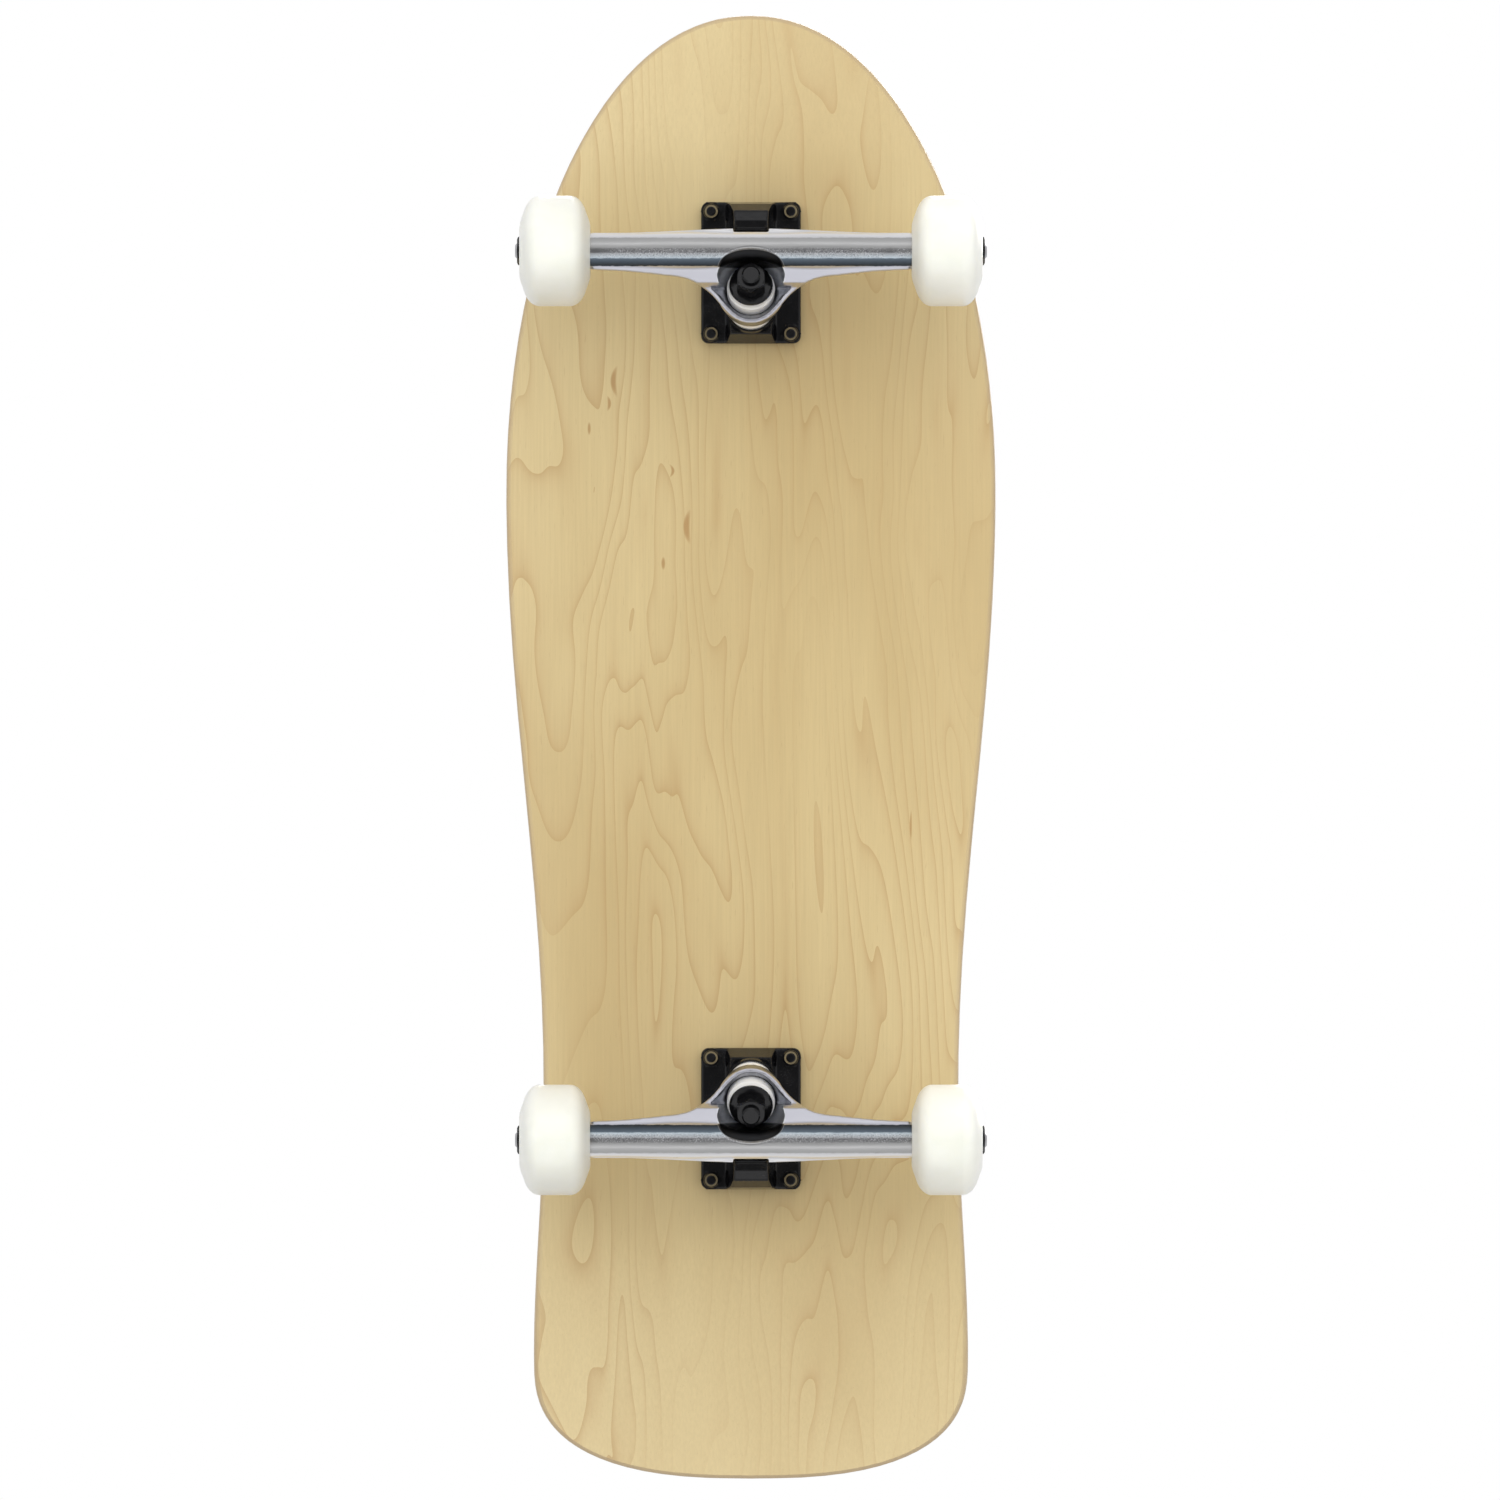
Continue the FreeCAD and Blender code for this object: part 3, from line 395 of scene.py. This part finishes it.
def alloy():
    """Cast aluminium: painted reflection and shade bands along the tube, a frosted strip, painted shade
    in the dish and in the pocket.
    """
    s = Shader("cast_alloy")
    at = s.place()
    x, y, z = s.xyz(at)
    offset = s.minus(s.math("ABSOLUTE", s.minus(y, BETWEEN)), HALF_WHEELBASE)
    grain = s.noise(s.scaled(at, (0.35, 1.0, 1.0)), scale=900, detail=3.0, rough=0.6)
    ragged = s.plus(offset, s.times_plus(grain, 0.0009, -0.00045))
    # painted reflections and painted shade, laid across the tube by distance from the axle
    stops = [(0.5 + 0.5 * where / 1000 / PAINTED_BAND_REACH, tone) for where, tone in PAINTED_REFLECTION_BANDS]
    colour = s.bands(s.times_plus(ragged, 0.5 / PAINTED_BAND_REACH, 0.5), stops)
    cloud = s.noise(s.scaled(at, (0.3, 1.0, 1.0)), scale=120, detail=3.0, rough=0.5)
    colour = s.mix(s.times(cloud, 0.3), colour, CLOUD_GREY, blend="MULTIPLY")
    pits = s.noise(at, scale=1500, detail=3.0, rough=0.7)
    patch, colour = frosting(s, at, offset, pits, colour)
    colour = around_kingpin(s, at, x, z, offset, colour)
    lines = s.noise(s.scaled(at, (0.04, 1.0, 1.0)), scale=1500, detail=3.0, rough=0.6)
    height = s.plus(s.times(lines, 0.25), s.times(pits, s.times(patch, 0.9)))
    rough = s.plus(s.times_plus(lines, 0.12, 0.24), s.times(patch, 0.14))
    return s.finish(s.bump(height, strength=0.22, distance=0.0002), Base_Color=colour, Metallic=1.0,
                    Roughness=rough)


# ---------------------------------------------------------------- steel, urethane and plastic

TURNED = (30.0, 1.0, 1.0)  # lines of a piece turned about its length across the board
EVEN = (1, 1, 1)


def steel(name, colour, rough, lines):
    """Plated or polished steel with fine tool lines and a faint haze."""
    s = Shader(name)
    at = s.place()
    tooling = s.noise(s.scaled(at, lines), scale=320, detail=3.0, rough=0.6)
    haze = s.noise(at, scale=160)
    tint = s.mix(s.ramp(haze, 0.3, 0.75), colour, shade(colour, 0.78))
    gloss = s.times_plus(tooling, 0.14, rough)
    return s.finish(s.bump(tooling, strength=0.14, distance=0.0001), Base_Color=tint, Metallic=1.0,
                    Roughness=gloss)


def urethane(name, core, rim, rough, scatter, radius):
    """Cast urethane: pale and slightly translucent, with faint moulding haze and fine dust."""
    s = Shader(name)
    at = s.place()
    haze = s.noise(at, scale=60)
    fine = s.noise(at, scale=1400, detail=2.0)
    colour = s.mix(s.ramp(haze, 0.3, 0.75), core, rim)
    skin = s.bump(haze, strength=0.05, distance=0.0006)
    normal = s.bump(fine, strength=0.05, distance=0.0001, normal=skin)
    return s.finish(normal, Base_Color=colour, Roughness=s.times_plus(haze, 0.14, rough),
                    Subsurface_Weight=scatter, Subsurface_Radius=(radius, radius * 0.95, radius * 0.8),
                    Subsurface_Scale=1.0, Coat_Weight=0.12, Coat_Roughness=0.2)


def plastic(name, colour, rough):
    """Moulded plastic with a slightly cloudy, uneven skin."""
    s = Shader(name)
    cloud = s.noise(s.place(), scale=240)
    tint = s.mix(s.ramp(cloud, 0.3, 0.75), colour, shade(colour, 0.72))
    return s.finish(s.bump(cloud, strength=0.12, distance=0.0002), Base_Color=tint,
                    Roughness=s.times_plus(cloud, 0.2, rough))


MATERIALS = {
    "maple_face": maple("maple_face", light=(0.815, 0.665, 0.365), dark=(0.690, 0.535, 0.270),
                        edge=(0.60, 0.45, 0.26), streaks=True),
    "maple_core": maple("maple_core", light=(0.62, 0.46, 0.27), dark=(0.55, 0.39, 0.22),
                        edge=(0.64, 0.49, 0.29), offset=0.37),
    "maple_cross": maple("maple_cross", light=(0.50, 0.34, 0.18), dark=(0.44, 0.29, 0.15),
                         edge=(0.42, 0.27, 0.14), offset=0.71),
    "grip": grip_material(),
    "black_coat": black_coat("black_coat", rough=0.10, wear=0.3),
    "cast_alloy": alloy(),
    "axle_steel": steel("axle_steel", (0.56, 0.56, 0.57), rough=0.24, lines=TURNED),
    "zinc_steel": steel("zinc_steel", (0.66, 0.66, 0.67), rough=0.22, lines=EVEN),
    "bearing_steel": steel("bearing_steel", (0.66, 0.66, 0.67), rough=0.10, lines=TURNED),
    "shield": steel("shield", (0.60, 0.60, 0.62), rough=0.20, lines=EVEN),
    "wheel_urethane": urethane("wheel_urethane", core=(0.97, 0.975, 0.90), rim=(0.93, 0.94, 0.86),
                               rough=0.30, scatter=0.35, radius=0.006),
    "bushing_urethane": urethane("bushing_urethane", core=(0.96, 0.96, 0.96), rim=(0.92, 0.92, 0.92),
                                 rough=0.28, scatter=0.2, radius=0.003),
    "pivot_urethane": plastic("pivot_urethane", (0.02, 0.02, 0.021), rough=0.45),
    "cage_nylon": plastic("cage_nylon", (0.72, 0.68, 0.55), rough=0.45),
    "nylon": plastic("nylon", (0.30, 0.245, 0.14), rough=0.42),
}


def dressed(obj, slot):
    obj.data.materials.clear()
    obj.data.materials.append(MATERIALS[slot])
    return obj


for part in frame["record"]["subparts"]:
    dressed(NODES[part["node"]], part["material_slot"])

# ---------------------------------------------------------------- cast pieces and bushings

SMOOTHING = 0.9            # how strongly each round of smoothing rounds the corners


def new_object(name, data):
    obj = bpy.data.objects.new(name, data)
    bpy.context.scene.collection.objects.link(obj)
    return obj


def smooth_faces(mesh):
    for face in mesh.polygons:
        face.use_smooth = True


def cast_copy(node, body, slot, voxel, rounds):
    """The CAD node with its corners softened the way a casting comes out of the mould."""
    obj = new_object(node + "_cast", NODES[node].data.copy())
    remesh = obj.modifiers.new("remesh", "REMESH")
    remesh.mode = "VOXEL"
    remesh.voxel_size = voxel
    smooth = obj.modifiers.new("smooth", "LAPLACIANSMOOTH")
    smooth.iterations = rounds
    smooth.lambda_factor = SMOOTHING
    smooth.use_volume_preserve = True
    depsgraph = bpy.context.evaluated_depsgraph_get()
    final = bpy.data.meshes.new_from_object(obj.evaluated_get(depsgraph))
    obj.modifiers.clear()
    obj.data = final
    smooth_faces(final)
    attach(obj, body)
    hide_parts(node)
    return dressed(obj, slot)


def bushing_copy(end, name):
    """A copy of the CAD bushing with smooth shading, shown in place of the CAD node."""
    node = "%s_%s" % (end, name)
    obj = new_object(node + "_soft", NODES[node].data.copy())
    smooth_faces(obj.data)
    dressed(obj, "bushing_urethane")
    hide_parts(node)
    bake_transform(obj)


for end in ENDS:
    cast_copy(end + "_hanger", end + "_hanger", "cast_alloy", voxel=0.00055, rounds=5)
    cast_copy(end + "_baseplate", "board", "black_coat", voxel=0.0006, rounds=3)

for end in ENDS:
    bushing_copy(end, "road_bushing")
    bushing_copy(end, "board_bushing")

# ---------------------------------------------------------------- studio

FLOOR_HALF = 30            # half the width of the floor
FLOOR_DROP = 0.0002        # it lies this far under the wheels
FLOOR_GREYS = ((0.50, 0.50, 0.50), (0.48, 0.48, 0.485))
FLOOR_GLOW = 0.30
FLOOR_GLOW_SEEN = 0.18     # more glow where the camera sees the floor itself
SKY_LIGHT = 0.66
SKY_SHINE = 0.30           # more light from the surroundings in reflections
SKY_BLUE = 1.02
SKY = [  # brightness of the surroundings, from straight below at 0 to straight above at 1
    (0.0, 0.20), (0.012, 0.26), (0.05, 0.62), (0.11, 0.66), (0.13, 1.35), (0.17, 1.35), (0.19, 0.70),
    (0.35, 0.72), (0.50, 0.62), (0.65, 0.80), (1.0, 0.90),
]
WHITE = (1.0, 1.0, 1.0)
WARM_WHITE = (1.0, 0.99, 0.97)


def soft_sun(name, towards, spread, strength, colour):
    """A very wide, even light shining towards a direction."""
    light = bpy.data.lights.new(name, "SUN")
    light.angle = math.radians(spread)
    light.energy = strength
    light.color = colour
    obj = new_object(name, light)
    obj.rotation_euler = Vector(towards).to_track_quat("-Z", "Y").to_euler()
    return obj


def floor():
    """A pale floor that is solid from above and open from underneath."""
    mesh = bpy.data.meshes.new("floor")
    corners = [(x * FLOOR_HALF, y * FLOOR_HALF, 0) for x, y in ((-1, -1), (1, -1), (1, 1), (-1, 1))]
    mesh.from_pydata(corners, [], [(0, 1, 2, 3)])
    obj = new_object("floor", mesh)
    obj.location.z = -FLOOR_DROP
    s = Shader("floor")
    tone = s.noise(s.place(), scale=3.0, detail=3.0)
    matt = s.add("ShaderNodeBsdfDiffuse")
    s.link(s.mix(s.ramp(tone, 0.2, 0.8), *FLOOR_GREYS), matt.inputs["Color"])
    glow = s.add("ShaderNodeEmission")
    s.link(s.times_plus(s.ray("Is Camera Ray"), FLOOR_GLOW_SEEN, FLOOR_GLOW), glow.inputs["Strength"])
    pale = s.add("ShaderNodeAddShader")
    s.link(matt.outputs[0], pale.inputs[0])
    s.link(glow.outputs[0], pale.inputs[1])
    clear = s.add("ShaderNodeBsdfTransparent")
    underside = s.add("ShaderNodeNewGeometry").outputs["Backfacing"]
    passed = s.math("MAXIMUM", underside, s.ray("Is Shadow Ray"))
    mesh.materials.append(s.surface(s.either(passed, pale.outputs[0], clear.outputs[0])))
    obj.visible_glossy = False


def world():
    """Surroundings that light the board in soft bands, and plain white behind it."""
    made = bpy.data.worlds.new("studio")
    bpy.context.scene.world = made
    made.use_nodes = True
    s = Nodes(made.node_tree)
    out = s.add("ShaderNodeOutputWorld")
    height = s.xyz(s.add("ShaderNodeTexCoord").outputs["Generated"])[2]
    stops = [(place, (value, value, value * SKY_BLUE)) for place, value in SKY]
    light = s.add("ShaderNodeBackground")
    s.link(s.bands(s.times_plus(height, 0.5, 0.5), stops), light.inputs["Color"])
    s.link(s.times_plus(s.ray("Is Glossy Ray"), SKY_SHINE, SKY_LIGHT), light.inputs["Strength"])
    seen = s.add("ShaderNodeBackground")
    s.link(WHITE, seen.inputs["Color"])
    s.link(1.0, seen.inputs["Strength"])
    s.link(s.either(s.ray("Is Camera Ray"), light.outputs[0], seen.outputs[0]), out.inputs["Surface"])


floor()
world()
soft_sun("key_above", towards=(-0.35, 0.40, -1.0), spread=40, strength=1.5, colour=WARM_WHITE)
broad_below = soft_sun("broad_below", towards=(0.03, 0.50, 1.0), spread=70, strength=1.85, colour=WHITE)
broad_below.visible_glossy = False

# ---------------------------------------------------------------- camera, straight below the board

DISTANCE = 8.5             # from the lens to the underside
UNDERSIDE = 0.085          # height that the frame is measured at
FIELD = 0.7789             # width of the frame there
AIM = (-0.0005, 0.0009)    # middle of the frame
SENSOR = 36                # millimetres
NEAR = 0.5
FAR = 40

scene = bpy.context.scene
scene.view_settings.view_transform = "Standard"
camera = bpy.data.cameras.new("camera")
camera.sensor_width = SENSOR
camera.lens = SENSOR * DISTANCE / FIELD
camera.clip_start = NEAR
camera.clip_end = FAR
eye = new_object("camera", camera)
upward = Matrix.Diagonal((1, -1, -1, 1))   # looks up from below, with the nose at the top of the picture
eye.matrix_world = Matrix.Translation((*AIM, UNDERSIDE - DISTANCE)) @ upward
scene.camera = eye
